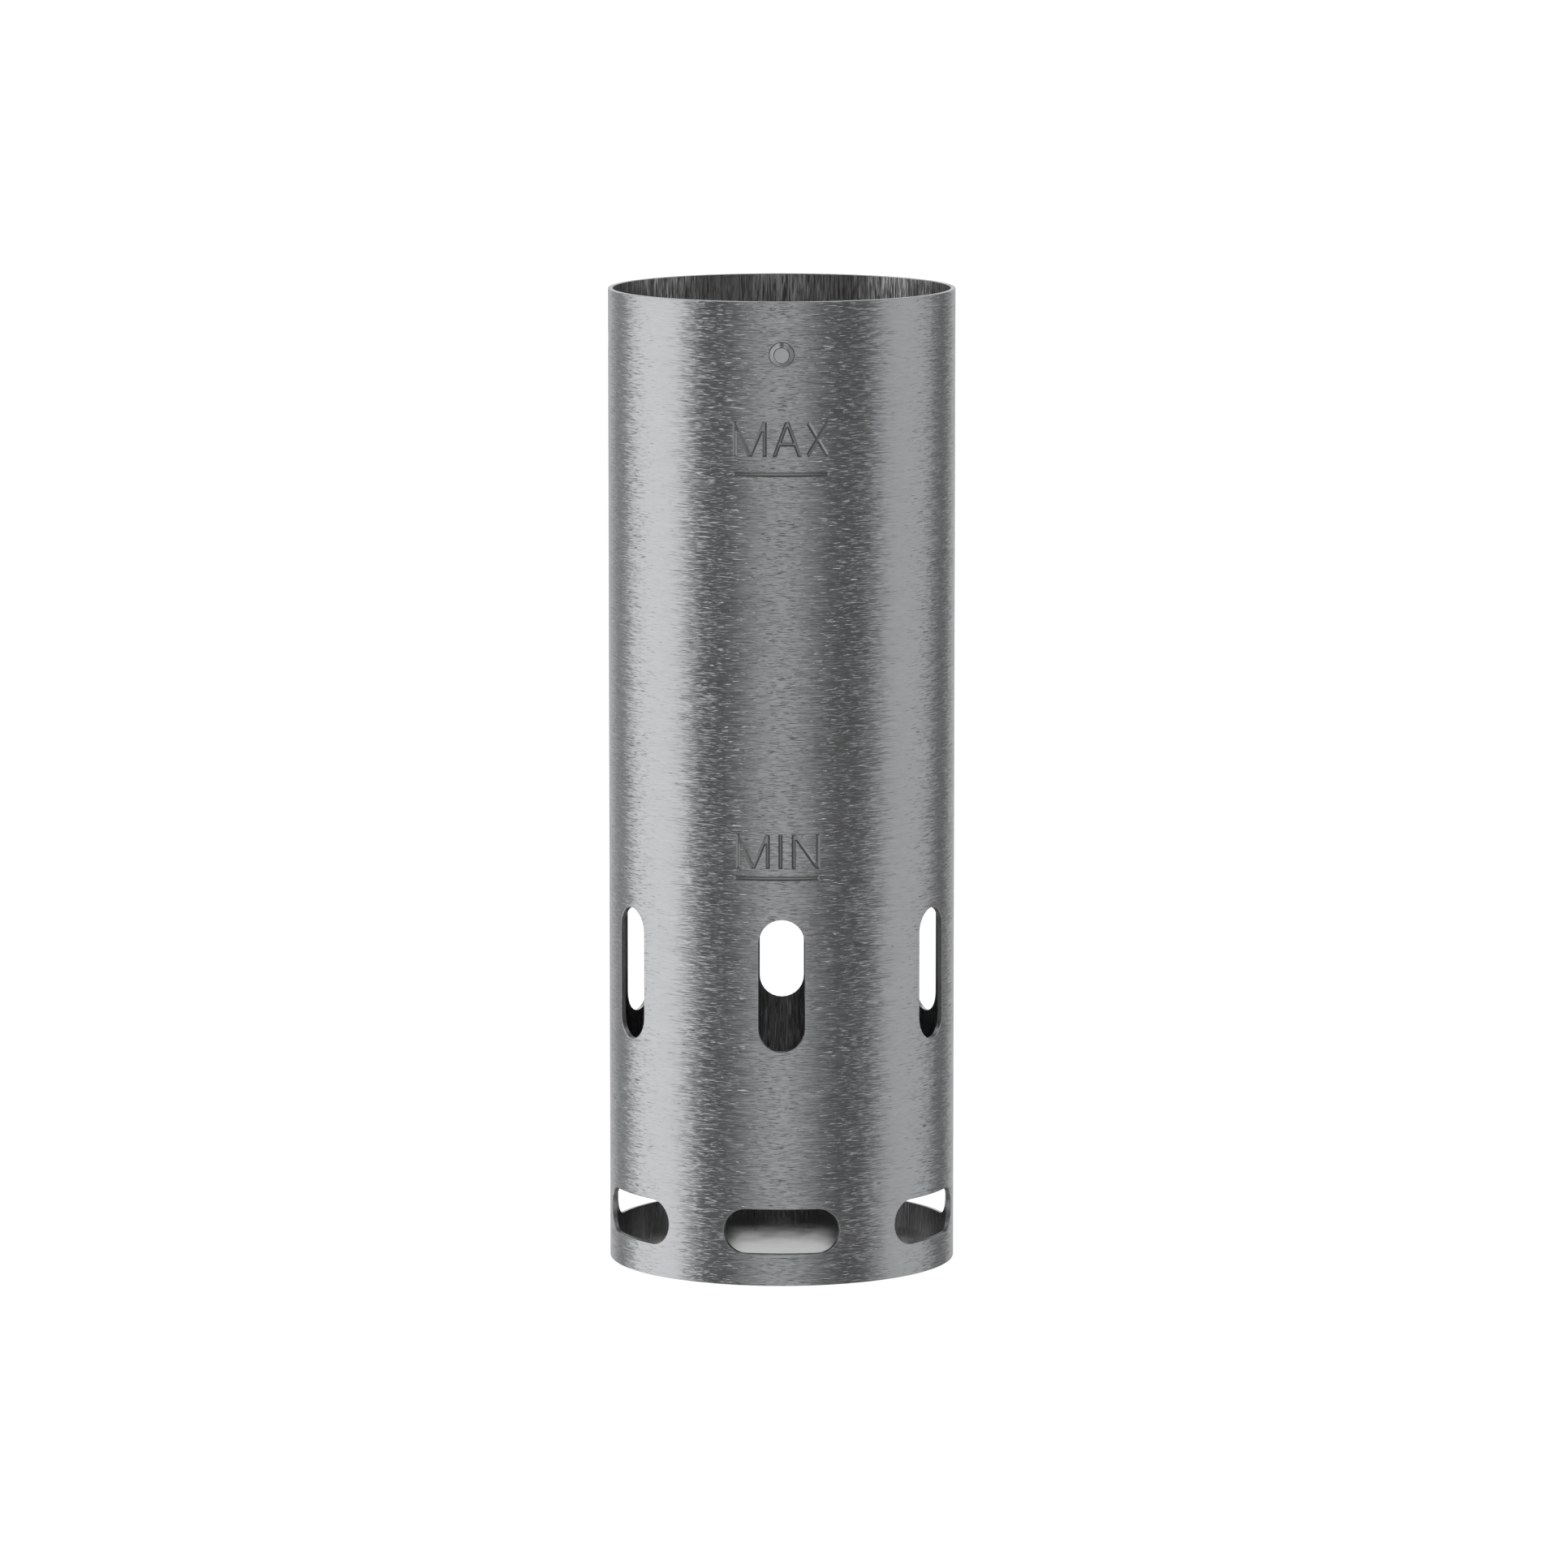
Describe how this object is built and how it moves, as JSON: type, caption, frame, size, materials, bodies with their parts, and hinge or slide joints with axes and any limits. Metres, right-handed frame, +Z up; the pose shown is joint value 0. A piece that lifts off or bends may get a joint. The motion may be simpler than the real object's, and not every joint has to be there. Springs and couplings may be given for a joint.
{
  "type": "immersion circulator sleeve",
  "caption": "Perforated stainless tube with a closed foot: the removable sleeve of an immersion circulator, with water-level lines.",
  "frame": {"origin": "centre of the base plate's underside, on the sleeve's axis", "axes": "+Z up the sleeve towards its open rim; -Y towards the front, where the locating button and the water-level marks are; -X towards the latch hole"},
  "size_m": [0.058, 0.0587, 0.1638],
  "materials": {
    "brushed_sheet": "brushed around the tube outside, drawn lengthwise inside",
    "smooth_sheet": "smooth mill finish"
  },
  "bodies": {
    "root": {"sleeve_tube": "brushed_sheet", "base_plate": "smooth_sheet"}
  },
  "joints": []
}
